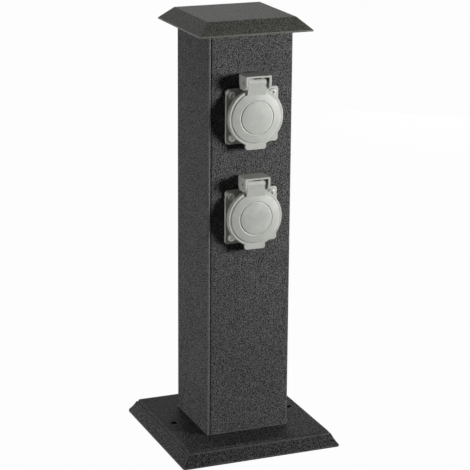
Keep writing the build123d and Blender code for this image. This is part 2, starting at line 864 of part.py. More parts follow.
for place, height in socket_heights.items():
    face = socket_face(height)
    side = socket_side(height)
    pin_place = (pin_out, pin_up)

    # Frame: flange, round collar with the well and its pin holes, and the hood with two cheeks.
    with BuildPart() as socket_frame:
        with BuildSketch(face.offset(gasket_thickness)):
            RectangleRounded(flange_size, flange_size, flange_corner)
        extrude(amount=flange_thickness)
        chamfer(
            socket_frame.faces().sort_by(Axis.Y)[0].outer_wire().edges(),
            flange_edge_round,
        )
        with BuildSketch(face.offset(gasket_thickness)):
            Circle(collar_radius)
        extrude(amount=collar_out - gasket_thickness)
        with BuildSketch(face.offset(gasket_thickness)):
            Circle(tube_radius)
        extrude(amount=-(gasket_thickness + tube_back))
        with BuildSketch(side):
            with BuildLine():
                Polyline(
                    (gasket_thickness, hood_bottom - flange_edge_round),
                    (gasket_thickness, hood_top),
                    (hood_out, hood_top),
                    (hood_out, hood_bottom),
                    (flange_front, hood_bottom),
                    (flange_front, hood_bottom - flange_edge_round),
                    close=True,
                )
            hood_face = make_face()
            hood_front = hood_face.vertices().group_by(Axis.X)[-1]
            fillet(hood_front.sort_by(Axis.Y)[0], hood_corner)
        extrude(amount=hood_width / 2, both=True)
        with BuildSketch(face.offset(flange_front)):
            with Locations((0, (hood_bottom - cut_overrun + hood_top - hood_plate) / 2)):
                Rectangle(
                    hood_width - 2 * hood_cheek,
                    hood_top - hood_plate - hood_bottom + cut_overrun,
                )
        extrude(amount=hood_out, mode=Mode.SUBTRACT)
        with BuildSketch(side):
            with Locations(pin_place):
                Circle(pin_radius + seat_clearance)
        extrude(amount=hood_width, both=True, mode=Mode.SUBTRACT)
        with BuildSketch(face.offset(collar_out)):
            Circle(well_radius)
        extrude(amount=-well_depth, mode=Mode.SUBTRACT)
        with BuildSketch(face.offset(-tube_back)):
            Circle(well_radius)
        extrude(amount=tube_back + floor_back_out, mode=Mode.SUBTRACT)
        with BuildSketch(face.offset(floor_front_out)):
            Circle(well_radius + (tube_radius - well_radius) / 2)
            Rectangle(2 * (well_radius - key_depth), 2 * well_radius, mode=Mode.SUBTRACT)
            Rectangle(2 * tube_radius, key_width, mode=Mode.INTERSECT)
        extrude(amount=well_depth - key_set_back)
        with BuildSketch(face.offset(floor_front_out)):
            with Locations(*contact_places):
                Circle(pin_hole_radius)
            Circle(centre_screw_radius + screw_clearance)
            with Locations((0, earth_finger_up), (0, -earth_finger_up)):
                Rectangle(earth_strip_width + 2 * screw_clearance, earth_strip + 2 * screw_clearance)
        extrude(amount=-(well_floor + cut_overrun), mode=Mode.SUBTRACT)
        with BuildSketch(face.offset(flange_front)):
            with Locations(*flange_screw_places):
                Circle(flange_screw_radius + screw_clearance)
        extrude(amount=-(flange_thickness + cut_overrun), mode=Mode.SUBTRACT)
        with BuildSketch(face.offset(flange_front)):
            with Locations(*flange_screw_places):
                Circle(flange_screw_head_radius + screw_clearance)
        extrude(amount=-flange_screw_recess, mode=Mode.SUBTRACT)

    socket_frame.part.label = f"{place}_socket_frame"
    export_step(socket_frame.part, f"parts/{place}_socket_frame.step")

    # Flange gasket: foam sheet between the frame and the column.
    with BuildPart() as flange_gasket:
        with BuildSketch(face):
            RectangleRounded(flange_size, flange_size, flange_corner)
            with Locations((0, (hood_top + flange_size / 2 - flange_corner) / 2)):
                Rectangle(hood_width, hood_top - flange_size / 2 + flange_corner)
            Circle(panel_hole_radius, mode=Mode.SUBTRACT)
            with Locations(*flange_screw_places):
                Circle(flange_screw_radius + screw_clearance, mode=Mode.SUBTRACT)
        extrude(amount=gasket_thickness)

    flange_gasket.part.label = f"{place}_flange_gasket"
    export_step(flange_gasket.part, f"parts/{place}_flange_gasket.step")

    with BuildPart() as flange_screws:
        add_head_screws(
            face.offset(flange_front - flange_screw_recess),
            flange_screw_places,
            flange_screw_head_radius,
            flange_screw_head,
            flange_screw_radius,
            flange_screw_length,
            flange_screw_key_flats,
        )

    flange_screws.part.label = f"{place}_flange_screws"
    export_step(flange_screws.part, f"parts/{place}_flange_screws.step")

    with BuildPart() as flange_nuts:
        add_nuts(
            face.offset(-sheet - flange_nut_height),
            flange_screw_places,
            flange_nut_flats,
            flange_nut_height,
            flange_screw_radius + seat_clearance,
        )

    flange_nuts.part.label = f"{place}_flange_nuts"
    export_step(flange_nuts.part, f"parts/{place}_flange_nuts.step")

    # Lid: turned disc with a rim, a step, a shallow crown and a ring groove, a tongue with the hinge
    # barrel above and a finger tab below.
    with BuildPart() as lid:
        with BuildSketch(side):
            with BuildLine():
                Polyline(
                    (lid_crown_out - lid_wall, lid_crown_flat),
                    (lid_crown_out - lid_wall, 0),
                    (lid_crown_out, 0),
                    (lid_crown_out, lid_crown_flat),
                )
                TangentArc(
                    (lid_crown_out, lid_crown_flat),
                    (lid_step_out, lid_step_radius),
                    tangent=(0, 1),
                )
                Polyline(
                    (lid_step_out, lid_step_radius),
                    (lid_rim_out, lid_step_radius + lid_step_slope),
                    (lid_rim_out, lid_radius - lid_rim_round),
                    (lid_rim_out - lid_rim_round, lid_radius),
                    (lid_back_out, lid_radius),
                    (lid_back_out, lid_rim_inner),
                    (lid_web_out, lid_rim_inner),
                    (lid_web_out, lid_inner_radius),
                    (crown_out(lid_inner_radius) - lid_wall, lid_inner_radius),
                )
                TangentArc(
                    (lid_crown_out - lid_wall, lid_crown_flat),
                    (crown_out(lid_inner_radius) - lid_wall, lid_inner_radius),
                    tangent=(0, 1),
                )
            make_face()
        revolve(axis=Axis((0, -half_column, height), (0, -1, 0)))
        with BuildSketch(side):
            with BuildLine():
                Polyline(
                    (crown_out(tongue_foot_up) - lid_wall / 2, tongue_foot_up),
                    (crown_out(tongue_foot_up), tongue_foot_up),
                    (tongue_front_out, tongue_front_up),
                    (pin_out + barrel_radius, pin_up),
                    (lid_web_out, pin_up),
                    (lid_web_out, lid_gasket_inner),
                    close=True,
                )
            make_face()
            with Locations(pin_place):
                Circle(barrel_radius)
        extrude(amount=tongue_width / 2, both=True)
        with BuildSketch(face.offset(lid_web_out)):
            with BuildLine():
                Polyline(
                    (-tab_width / 2, -lid_gasket_inner),
                    (-tab_width / 2, -tab_reach),
                    (tab_width / 2, -tab_reach),
                    (tab_width / 2, -lid_gasket_inner),
                    close=True,
                )
            tab_face = make_face()
            fillet(tab_face.vertices().group_by(Axis.Y)[0], tab_corner)
        extrude(amount=lid_rim_out - lid_web_out)
        with BuildSketch(face.offset(lid_web_out)):
            with BuildLine():
                SagittaArc(
                    (-tongue_width / 2 - tongue_flare, tongue_flare_foot_up),
                    (-tongue_width / 2, tongue_flare_up),
                    -tongue_flare_hollow,
                )
                Line((-tongue_width / 2, tongue_flare_up), (tongue_width / 2, tongue_flare_up))
                SagittaArc(
                    (tongue_width / 2, tongue_flare_up),
                    (tongue_width / 2 + tongue_flare, tongue_flare_foot_up),
                    -tongue_flare_hollow,
                )
                Line(
                    (tongue_width / 2 + tongue_flare, tongue_flare_foot_up),
                    (-tongue_width / 2 - tongue_flare, tongue_flare_foot_up),
                )
            make_face()
        extrude(amount=lid_rim_out - lid_web_out)
        with BuildSketch(side):
            with Locations((crown_out(groove_radius) + groove_tool_radius - groove_depth, groove_radius)):
                Circle(groove_tool_radius)
        revolve(axis=Axis((0, -half_column, height), (0, -1, 0)), mode=Mode.SUBTRACT)
        with BuildSketch(side):
            with Locations(pin_place):
                Circle(pin_radius + hinge_clearance)
        extrude(amount=tongue_width, both=True, mode=Mode.SUBTRACT)
        with BuildSketch(side):
            with Locations(pin_place):
                Circle(spring_pocket_radius)
            with Locations((pin_out, pin_up + barrel_radius / 2)):
                Rectangle(
                    2 * spring_pocket_radius - 2 * screw_clearance,
                    barrel_radius + spring_pocket_radius,
                )
            with Locations((pin_out - barrel_radius, pin_up)):
                Rectangle(2 * barrel_radius, 2 * spring_pocket_radius)
        extrude(amount=spring_pocket_width / 2, both=True, mode=Mode.SUBTRACT)
        with BuildSketch(Plane.XY.offset(height + pin_up)):
            with Locations((spring_pitch * spring_turns / 2, -half_column - pin_out - spring_radius)):
                Circle(spring_wire_radius + screw_clearance)
        extrude(amount=-(spring_leg_reach + screw_clearance), mode=Mode.SUBTRACT)

    lid.part.label = f"{place}_lid"
    export_step(lid.part, f"parts/{place}_lid.step")

    with BuildPart() as lid_gasket:
        with BuildSketch(face.offset(lid_web_out)):
            Circle(lid_rim_inner - screw_clearance)
            Circle(lid_gasket_inner, mode=Mode.SUBTRACT)
        extrude(amount=collar_out + lid_gasket_gap - lid_web_out)

    lid_gasket.part.label = f"{place}_lid_gasket"
    export_step(lid_gasket.part, f"parts/{place}_lid_gasket.step")

    # Hinge pin: its ends sit a little inside the cheeks.
    with BuildPart() as hinge_pin:
        with BuildSketch(side):
            with Locations(pin_place):
                Circle(pin_radius)
        extrude(amount=hood_width / 2 - pin_recess, both=True)

    hinge_pin.part.label = f"{place}_hinge_pin"
    export_step(hinge_pin.part, f"parts/{place}_hinge_pin.step")

    # Lid spring: wire coil round the pin. One leg bears on the frame, the other sits in the tongue.
    coil_half = spring_pitch * spring_turns / 2
    leg_start_out = flange_front + spring_wire_radius + screw_clearance
    quarters = round(4 * spring_turns)
    coil_points = []
    for step in range(2 * quarters + 1):
        turn = pi / 2 - step * pi / 4
        coil_points.append(
            (
                step / 8 * spring_pitch - coil_half,
                -half_column - pin_out - spring_radius * cos(turn),
                height + pin_up + spring_radius * sin(turn),
            )
        )
    first_leg = (-coil_half, -half_column - leg_start_out, height + pin_up + spring_radius)
    last_leg = (
        coil_points[-1][0],
        coil_points[-1][1],
        coil_points[-1][2] - spring_leg_reach,
    )
    with BuildPart() as lid_spring:
        with BuildLine() as spring_route:
            Line(first_leg, coil_points[0])
            for start in range(0, 2 * quarters, 2):
                ThreePointArc(*coil_points[start : start + 3])
            Line(coil_points[-1], last_leg)
        with BuildSketch(Plane(origin=first_leg, z_dir=(0, -1, 0))):
            Circle(spring_wire_radius)
        sweep(path=spring_route.line)

    lid_spring.part.label = f"{place}_lid_spring"
    export_step(lid_spring.part, f"parts/{place}_lid_spring.step")

    # Contact carrier: moulded disc behind the well's floor.
    with BuildPart() as contact_carrier:
        with BuildSketch(face.offset(floor_back_out)):
            Circle(carrier_radius)
            with Locations((0, carrier_radius), (0, -carrier_radius)):
                Rectangle(
                    earth_strip_width + 2 * screw_clearance,
                    2 * (carrier_radius - earth_finger_up + earth_strip),
                    mode=Mode.SUBTRACT,
                )
        extrude(amount=-carrier_depth)
        with BuildSketch(face.offset(floor_back_out)):
            Rectangle(earth_strip_width + 2 * screw_clearance, 2 * carrier_radius)
        extrude(amount=-(earth_strip + 2 * screw_clearance), mode=Mode.SUBTRACT)
        with BuildSketch(face.offset(floor_back_out)):
            with Locations(*contact_places):
                Circle(carrier_bore_radius)
            Circle(centre_screw_radius + screw_clearance)
            with Locations(earth_place):
                Rectangle(earth_strip_width + 2 * screw_clearance, earth_strip + 2 * screw_clearance)
        extrude(amount=-(carrier_depth + cut_overrun), mode=Mode.SUBTRACT)

    contact_carrier.part.label = f"{place}_contact_carrier"
    export_step(contact_carrier.part, f"parts/{place}_contact_carrier.step")

    # Line contacts: brass sleeves for the plug's pins, each with a screw terminal behind.
    terminal_screw_out = terminal_back_out + terminal_screw_set_back
    with BuildPart() as pin_contacts:
        with BuildSketch(face.offset(carrier_back_out - screw_clearance)):
            with Locations(*contact_places):
                Circle(contact_radius)
        extrude(amount=carrier_depth + screw_clearance - contact_set_back)
        with BuildSketch(face.offset(floor_back_out)):
            with Locations(*contact_places):
                Circle(contact_bore_radius)
        extrude(amount=-contact_length, mode=Mode.SUBTRACT)
        with BuildSketch(face.offset(carrier_back_out - screw_clearance)):
            with Locations(*contact_places):
                Rectangle(terminal_size, terminal_size)
        extrude(amount=screw_clearance - terminal_length)
        with BuildSketch(face.offset(terminal_back_out)):
            with Locations(*contact_places):
                Circle(wire_radius + screw_clearance)
        extrude(amount=wire_grip + screw_clearance, mode=Mode.SUBTRACT)
        with BuildSketch(Plane.XY.offset(height)):
            for across, up in contact_places:
                with Locations((across, -half_column - terminal_screw_out)):
                    Circle(terminal_screw_radius + seat_clearance)
        extrude(amount=-terminal_size, mode=Mode.SUBTRACT)

    pin_contacts.part.label = f"{place}_pin_contacts"
    export_step(pin_contacts.part, f"parts/{place}_pin_contacts.step")

    # Earth clip: one bent strip whose two fingers reach into the well, with its own terminal.
    with BuildPart() as earth_clip:
        with BuildSketch(side):
            with BuildLine():
                Polyline(
                    (earth_tip_out - well_depth + collar_out, earth_finger_up - earth_tip_lean),
                    (-earth_finger_out, earth_finger_up),
                    (strip_out, earth_finger_up),
                    (strip_out, -earth_finger_up),
                    (-earth_finger_out, -earth_finger_up),
                    (earth_tip_out - well_depth + collar_out, earth_tip_lean - earth_finger_up),
                )
            trace(line_width=earth_strip)
        extrude(amount=earth_strip_width / 2, both=True)
        with BuildSketch(face.offset(strip_out)):
            with Locations(earth_place):
                Rectangle(earth_strip_width, earth_strip)
        extrude(amount=carrier_back_out - screw_clearance - strip_out)
        with BuildSketch(face.offset(carrier_back_out - screw_clearance)):
            with Locations(earth_place):
                Rectangle(terminal_size, terminal_size)
        extrude(amount=screw_clearance - terminal_length)
        with BuildSketch(face.offset(terminal_back_out)):
            with Locations(earth_place):
                Circle(wire_radius + screw_clearance)
        extrude(amount=wire_grip + screw_clearance, mode=Mode.SUBTRACT)
        with BuildSketch(face.offset(strip_out + earth_strip)):
            Circle(centre_screw_radius + screw_clearance)
        extrude(amount=-2 * earth_strip, mode=Mode.SUBTRACT)
        with BuildSketch(Plane.XY.offset(height - earth_terminal_up)):
            with Locations((0, -half_column - terminal_screw_out)):
                Circle(terminal_screw_radius + seat_clearance)
        extrude(amount=-terminal_size, mode=Mode.SUBTRACT)

    earth_clip.part.label = f"{place}_earth_clip"
    export_step(earth_clip.part, f"parts/{place}_earth_clip.step")

    # Terminal screws: slotted grub screws, one under each of the three wires.
    grub_length = terminal_size / 2 - wire_radius - wire_clear + terminal_screw_stand
    with BuildPart() as terminal_screws:
        for across, up in terminal_places:
            grub_top = height + up - wire_radius - wire_clear
            with BuildSketch(Plane.XY.offset(grub_top)):
                with Locations((across, -half_column - terminal_screw_out)):
                    Circle(terminal_screw_radius)
            extrude(amount=-grub_length)
            with BuildSketch(Plane.XY.offset(grub_top - grub_length)):
                with Locations((across, -half_column - terminal_screw_out)):
                    Rectangle(2 * terminal_screw_radius, centre_screw_slot)
            extrude(amount=centre_screw_slot, mode=Mode.SUBTRACT)

    terminal_screws.part.label = f"{place}_terminal_screws"
    export_step(terminal_screws.part, f"parts/{place}_terminal_screws.step")

    # Centre screw: clamps the carrier between the well's floor and the rear cover.
    with BuildPart() as centre_screw:
        with BuildSketch(face.offset(floor_front_out)):
            Circle(centre_screw_head_radius)
        extrude(amount=centre_screw_head)
        with BuildSketch(face.offset(floor_front_out)):
            Circle(centre_screw_radius)
        extrude(amount=cover_floor_out - floor_front_out)
        with BuildSketch(face.offset(floor_front_out + centre_screw_head)):
            Rectangle(2 * centre_screw_head_radius, centre_screw_slot)
        extrude(amount=-centre_screw_slot, mode=Mode.SUBTRACT)

    centre_screw.part.label = f"{place}_centre_screw"
    export_step(centre_screw.part, f"parts/{place}_centre_screw.step")

    # Rear cover: cup behind the frame's tube, with a boss for the centre screw and three wire holes.
    with BuildPart() as rear_cover:
        with BuildSketch(face.offset(-rear_cover_back)):
            Circle(tube_radius)
        extrude(amount=rear_cover_back - tube_back)
        fillet(rear_cover.edges().sort_by(Axis.Y)[-1], rear_cover_wall)
        with BuildSketch(face.offset(-tube_back)):
            Circle(tube_radius - rear_cover_wall)
        extrude(amount=cover_floor_out + tube_back, mode=Mode.SUBTRACT)
        with BuildSketch(face.offset(cover_floor_out)):
            Circle(rear_cover_boss_radius)
        extrude(amount=carrier_back_out - screw_clearance - cover_floor_out)
        with BuildSketch(face.offset(carrier_back_out)):
            Circle(centre_screw_radius + seat_clearance)
        extrude(amount=cover_floor_out - carrier_back_out, mode=Mode.SUBTRACT)
        with BuildSketch(face.offset(-rear_cover_back)):
            with Locations(*terminal_places):
                Circle(bush_hole_radius)
        extrude(amount=rear_cover_wall, mode=Mode.SUBTRACT)

    rear_cover.part.label = f"{place}_rear_cover"
    export_step(rear_cover.part, f"parts/{place}_rear_cover.step")

    # Wire bushes: rubber rings in the rear cover's holes.
    with BuildPart() as wire_bushes:
        with BuildSketch(face.offset(-rear_cover_back)):
            with Locations(*terminal_places):
                Circle(bush_hole_radius - seat_clearance)
        extrude(amount=rear_cover_wall)
        with BuildSketch(face.offset(-rear_cover_back)):
            with Locations(*terminal_places):
                Circle(bush_flange_radius)
        extrude(amount=-bush_flange)
        with BuildSketch(face.offset(-rear_cover_back - bush_flange)):
            with Locations(*terminal_places):
                Circle(wire_radius + seat_clearance)
        extrude(amount=rear_cover_wall + bush_flange, mode=Mode.SUBTRACT)

    wire_bushes.part.label = f"{place}_wire_bushes"
    export_step(wire_bushes.part, f"parts/{place}_wire_bushes.step")
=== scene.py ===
import math

import bpy
from mathutils import Matrix, Vector

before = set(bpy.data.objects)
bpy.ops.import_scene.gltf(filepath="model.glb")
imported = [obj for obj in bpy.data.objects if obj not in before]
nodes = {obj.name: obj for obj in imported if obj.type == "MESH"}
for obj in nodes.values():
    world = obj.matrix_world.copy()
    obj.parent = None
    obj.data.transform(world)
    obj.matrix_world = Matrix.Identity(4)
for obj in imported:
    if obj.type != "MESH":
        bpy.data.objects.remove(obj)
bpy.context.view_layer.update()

# The picture is taken with a long lens from the front left, above the cap, so the column's front
# and left side both show. The camera's place is in metres from the middle of the post's foot.
# White stays white: the view has no colour grading.
sensor_width_mm = 36.0
lens_length_mm = 144.15
view_depth = 50.0
camera_place = (-0.626, -1.545, 0.687)
camera_turn = math.radians(22.12)
camera_drop = math.radians(16.54)
camera_roll = math.radians(0.43)

bpy.context.scene.view_settings.view_transform = "Standard"
camera_data = bpy.data.cameras.new("photo_camera")
camera_data.sensor_width = sensor_width_mm
camera_data.lens = lens_length_mm
camera_data.clip_end = view_depth
camera = bpy.data.objects.new("photo_camera", camera_data)
bpy.context.scene.collection.objects.link(camera)
camera.matrix_world = (
    Matrix.Translation(camera_place)
    @ Matrix.Rotation(-camera_turn, 4, "Z")
    @ Matrix.Rotation(math.pi / 2 - camera_drop, 4, "X")
    @ Matrix.Rotation(camera_roll, 4, "Z")
)
bpy.context.scene.camera = camera


# Column: one sheet of 1.5 mm steel folded into a square tube, with its seam at the front left
# corner. It is powder coated in a dark structured finish, whose grains are about half a
# millimetre wide and lie slanted, so that no face cuts through them in line.
def new_finish(name):
    """An empty finish: its material, its node tree, its skin and the place on the piece."""
    material = bpy.data.materials.new(name)
    material.use_nodes = True
    tree = material.node_tree
    place = tree.nodes.new("ShaderNodeTexCoord")
    return material, tree, tree.nodes["Principled BSDF"], place.outputs["Object"]


def unevenness(tree, place, scale, detail):
    """The grain or the clouds that run through a finish, with scale in lumps per metre."""
    lumps = tree.nodes.new("ShaderNodeTexNoise")
    lumps.inputs["Scale"].default_value = scale
    lumps.inputs["Detail"].default_value = detail
    tree.links.new(place, lumps.inputs["Vector"])
    return lumps


def two_tones(tree, lumps, dark, light, dark_to=0.0, light_from=1.0):
    """A colour between two tones, dark in the dips and light on the lumps."""
    tone = tree.nodes.new("ShaderNodeValToRGB")
    low, high = tone.color_ramp.elements
    low.position, low.color = dark_to, dark
    high.position, high.color = light_from, light
    tree.links.new(lumps.outputs["Fac"], tone.inputs["Fac"])
    return tone.outputs["Color"]


def rounded_edges(tree, radius):
    """The small rounding that a real edge has, in metres."""
    rounding = tree.nodes.new("ShaderNodeBevel")
    rounding.inputs["Radius"].default_value = radius
    return rounding.outputs["Normal"]


def relief(tree, lumps, skin, strength, depth, edges=None):
    """Hills and dips on the skin, depth in metres, over rounded edges where they are given."""
    hills = tree.nodes.new("ShaderNodeBump")
    hills.inputs["Strength"].default_value = strength
    hills.inputs["Distance"].default_value = depth
    if edges is not None:
        tree.links.new(edges, hills.inputs["Normal"])
    tree.links.new(lumps.outputs["Fac"], hills.inputs["Height"])
    tree.links.new(hills.outputs["Normal"], skin.inputs["Normal"])


def powder_coat(name, dark, light, grain, depth, roughness, gloss):
    """Baked powder coat: a dark matt film whose tiny hills and dips catch the light."""
    grain_slant = (0.6, 0.5, 0.7)
    grain_stretch = (1.0, 0.5, 1.0)
    grains_per_patch = 40
    patch_share = 0.25
    edge_radius = 0.0012
    # Painted highlight on the edges: its lightening and the cosines where it starts and is full.
    edge_highlight_gain = 1.8
    highlight_from, highlight_full = 0.995, 0.90

    coat, tree, film, place = new_finish(name)
    film.inputs["Roughness"].default_value = roughness
    film.inputs["Specular IOR Level"].default_value = gloss
    slant = tree.nodes.new("ShaderNodeMapping")
    slant.inputs["Rotation"].default_value = grain_slant
    slant.inputs["Scale"].default_value = grain_stretch
    tree.links.new(place, slant.inputs["Vector"])
    grains = unevenness(tree, slant.outputs["Vector"], scale=grain, detail=0.7)
    grains.inputs["Roughness"].default_value = 0.6
    tones = two_tones(tree, grains, dark, light, dark_to=0.42, light_from=0.63)

    # Broad patches, where the powder lay thicker, make the film a little darker.
    patches = unevenness(tree, place, scale=grain / grains_per_patch, detail=2.0)
    patchy = tree.nodes.new("ShaderNodeMix")
    patchy.data_type = "RGBA"
    patchy.blend_type = "MULTIPLY"
    patchy.inputs[0].default_value = patch_share
    tree.links.new(tones, patchy.inputs[6])
    tree.links.new(patches.outputs["Fac"], patchy.inputs[7])

    # Painted highlight: the edges get a lighter colour, a bright line where they catch the light.
    # An edge is found by the angle between the rounded surface and the flat one under it, given
    # as a cosine.
    edges = rounded_edges(tree, edge_radius)
    surface = tree.nodes.new("ShaderNodeNewGeometry")
    turned = tree.nodes.new("ShaderNodeVectorMath")
    turned.operation = "DOT_PRODUCT"
    tree.links.new(edges, turned.inputs[0])
    tree.links.new(surface.outputs["True Normal"], turned.inputs[1])
    edge_highlight_mask = tree.nodes.new("ShaderNodeMapRange")
    edge_highlight_mask.inputs["From Min"].default_value = highlight_from
    edge_highlight_mask.inputs["From Max"].default_value = highlight_full
    tree.links.new(turned.outputs["Value"], edge_highlight_mask.inputs["Value"])
    # Painted highlight: the coat's colour is lightened along the edges.
    painted_edge_highlight = tree.nodes.new("ShaderNodeMix")
    painted_edge_highlight.data_type = "RGBA"
    painted_edge_highlight.inputs[7].default_value = [channel * edge_highlight_gain for channel in light[:3]] + [1]
    tree.links.new(edge_highlight_mask.outputs["Result"], painted_edge_highlight.inputs[0])
    tree.links.new(patchy.outputs[2], painted_edge_highlight.inputs[6])
    tree.links.new(painted_edge_highlight.outputs[2], film.inputs["Base Color"])
    relief(tree, grains, film, strength=1.0, depth=depth, edges=edges)
    return coat


def finish(material, *names):
    """Give these CAD pieces a material on all their slots."""
    for name in names:
        piece = nodes[name]
        if not piece.data.materials:
            piece.data.materials.append(material)
        for index in range(len(piece.data.materials)):
            piece.data.materials[index] = material


column_coat = powder_coat(
    "column_coat",
    dark=(0.005, 0.005, 0.005, 1),
    light=(0.215, 0.215, 0.215, 1),
    grain=1700.0,
    depth=0.0007,
    roughness=0.60,
    gloss=0.02,
)
finish(column_coat, "column")

# Base plate: cast square pedestal with a coved bevel and a rounded step up to the flat that
# carries the column. Its powder coat is darker, with a coarser and flatter grain.
base_coat = powder_coat(
    "base_coat",
    dark=(0.001, 0.001, 0.001, 1),
    light=(0.092, 0.092, 0.091, 1),
    grain=1100.0,
    depth=0.0003,
    roughness=0.50,
    gloss=0.05,
)
finish(base_coat, "base_plate")

# Cap: cast roof with a flat top and sloping sides, held down from inside by the tie rods. Its
# coat is warmer and glossier than the column's, with a flatter grain.
cap_coat = powder_coat(
    "cap_coat",
    dark=(0.026, 0.026, 0.024, 1),
    light=(0.162, 0.160, 0.141, 1),
    grain=1500.0,
    depth=0.0003,
    roughness=0.50,
    gloss=0.10,
)
finish(cap_coat, "cap")


# Cap seal: black rubber with a dusty matt skin, pressed between the cap and the column's top
# edge. The gland seal, the gaskets and the wire bushes are made of the same rubber.
def rubber(name, dark, light):
    """Soft black rubber with a fine dusty bloom."""
    soft, tree, skin, place = new_finish(name)
    skin.inputs["Roughness"].default_value = 0.85
    skin.inputs["Specular IOR Level"].default_value = 0.3
    bloom = unevenness(tree, place, scale=800.0, detail=4.0)
    tree.links.new(two_tones(tree, bloom, dark, light), skin.inputs["Base Color"])
    relief(tree, bloom, skin, strength=0.4, depth=0.00005)
    return soft


seal_rubber = rubber(
    "seal_rubber", dark=(0.012, 0.012, 0.012, 1), light=(0.045, 0.045, 0.045, 1)
)
finish(seal_rubber, "cap_seal")


# Tie rods with their washers and nuts: zinc-plated steel. They pull the cap down on the column
# from under the base plate.
def uneven_polish(tree, lumps, skin, smoothest, roughest):
    """A skin's roughness, which goes from smoothest in the dips to roughest on the lumps."""
    polish = tree.nodes.new("ShaderNodeMapRange")
    polish.inputs["To Min"].default_value = smoothest
    polish.inputs["To Max"].default_value = roughest
    tree.links.new(lumps.outputs["Fac"], polish.inputs["Value"])
    tree.links.new(polish.outputs["Result"], skin.inputs["Roughness"])


def bare_metal(name, dull, bright, roughness, grain):
    """Plated or plain metal: a bright skin in fine clouds of two tones."""
    metal, tree, skin, place = new_finish(name)
    skin.inputs["Metallic"].default_value = 1.0
    clouds = unevenness(tree, place, scale=grain, detail=5.0)
    tones = two_tones(tree, clouds, dull, bright, dark_to=0.3, light_from=0.7)
    tree.links.new(tones, skin.inputs["Base Color"])
    uneven_polish(tree, clouds, skin, smoothest=roughness - 0.08, roughest=roughness + 0.12)
    edges = rounded_edges(tree, radius=0.0004)
    relief(tree, clouds, skin, strength=0.3, depth=0.00003, edges=edges)
    return metal


zinc_steel = bare_metal(
    "zinc_steel",
    dull=(0.48, 0.48, 0.46, 1),
    bright=(0.70, 0.70, 0.68, 1),
    roughness=0.34,
    grain=500.0,
)
finish(zinc_steel, "tie_rods", "tie_rod_washers", "tie_rod_nuts")


# Cable gland: moulded body, lock nut and dome nut in mid-grey nylon with a rubber seal, screwed
# into the base plate where the supply cable comes up.
def moulded_plastic(name, shade, pale, roughness, grain, depth=0.00002):
    """Moulded plastic: an even colour with faint flow marks and a fine spark-eroded skin."""
    grains_per_flow_mark = 12

    plastic, tree, skin, place = new_finish(name)
    skin.inputs["Specular IOR Level"].default_value = 0.5
    flow = unevenness(tree, place, scale=grain / grains_per_flow_mark, detail=3.0)
    flow.inputs["Distortion"].default_value = 0.6
    tones = two_tones(tree, flow, shade, pale, dark_to=0.25, light_from=0.75)
    tree.links.new(tones, skin.inputs["Base Color"])
    spark = unevenness(tree, place, scale=grain, detail=2.0)
    uneven_polish(tree, spark, skin, smoothest=roughness - 0.05, roughest=roughness + 0.07)
    edges = rounded_edges(tree, radius=0.0005)
    relief(tree, spark, skin, strength=0.5, depth=depth, edges=edges)
    return plastic


gland_nylon = moulded_plastic(
    "gland_nylon",
    shade=(0.16, 0.17, 0.18, 1),
    pale=(0.22, 0.23, 0.24, 1),
    roughness=0.5,
    grain=1500.0,
)
finish(gland_nylon, "gland_body", "gland_lock_nut", "gland_dome_nut")
finish(seal_rubber, "gland_seal")

# Terminal bracket: folded angle of zinc-plated sheet, fixed to the base plate with two screws. It
# carries the terminal block low inside the column.
finish(zinc_steel, "terminal_bracket", "bracket_screws")

# Terminal block: cream moulded block of three poles, each a brass clamp with two steel screws.
# Two long screws with nuts hold it on the bracket.
block_plastic = moulded_plastic(
    "block_plastic",
    shade=(0.64, 0.62, 0.55, 1),
    pale=(0.74, 0.72, 0.65, 1),
    roughness=0.45,
    grain=1200.0,
)
clamp_brass = bare_metal(
    "clamp_brass",
    dull=(0.58, 0.40, 0.16, 1),
    bright=(0.80, 0.60, 0.28, 1),
    roughness=0.32,
    grain=420.0,
)
finish(block_plastic, "terminal_block")
finish(clamp_brass, "terminal_clamps")
finish(zinc_steel, "clamp_screws", "block_screws", "block_nuts")

# Earth stud: plated steel stud pressed into the base plate, with a washer, a crimped brass ring
# lug and a nut on top.
finish(zinc_steel, "earth_stud", "earth_washer", "earth_nut")
finish(clamp_brass, "earth_lug")


# Wires: stranded copper in soft coloured insulation, brown for line, blue for neutral, and green
# with yellow bands for earth. They run from the terminal block to each socket and to the stud.
def insulation(name, colour, band=None):
    """Extruded wire insulation with faint streaks, and bands of a second colour for earth."""
    streak_contrast = 0.15
    bands_per_metre = 130.0
    band_from = 0.6

    sleeve, tree, skin, place = new_finish(name)
    skin.inputs["Roughness"].default_value = 0.42
    streaks = unevenness(tree, place, scale=300.0, detail=2.0)
    shade = [channel * (1 - streak_contrast) for channel in colour] + [1]
    pale = [min(1, channel * (1 + streak_contrast)) for channel in colour] + [1]
    sleeve_colour = two_tones(tree, streaks, shade, pale)
    if band:
        stripes = tree.nodes.new("ShaderNodeTexWave")
        stripes.wave_type = "BANDS"
        stripes.bands_direction = "X"
        stripes.inputs["Scale"].default_value = bands_per_metre
        tree.links.new(place, stripes.inputs["Vector"])
        edge = tree.nodes.new("ShaderNodeValToRGB")
        edge.color_ramp.interpolation = "CONSTANT"
        edge.color_ramp.elements[1].position = band_from
        tree.links.new(stripes.outputs["Fac"], edge.inputs["Fac"])
        banded = tree.nodes.new("ShaderNodeMix")
        banded.data_type = "RGBA"
        banded.inputs[7].default_value = band + (1,)
        tree.links.new(edge.outputs["Color"], banded.inputs[0])
        tree.links.new(sleeve_colour, banded.inputs[6])
        sleeve_colour = banded.outputs[2]
    tree.links.new(sleeve_colour, skin.inputs["Base Color"])
    return sleeve


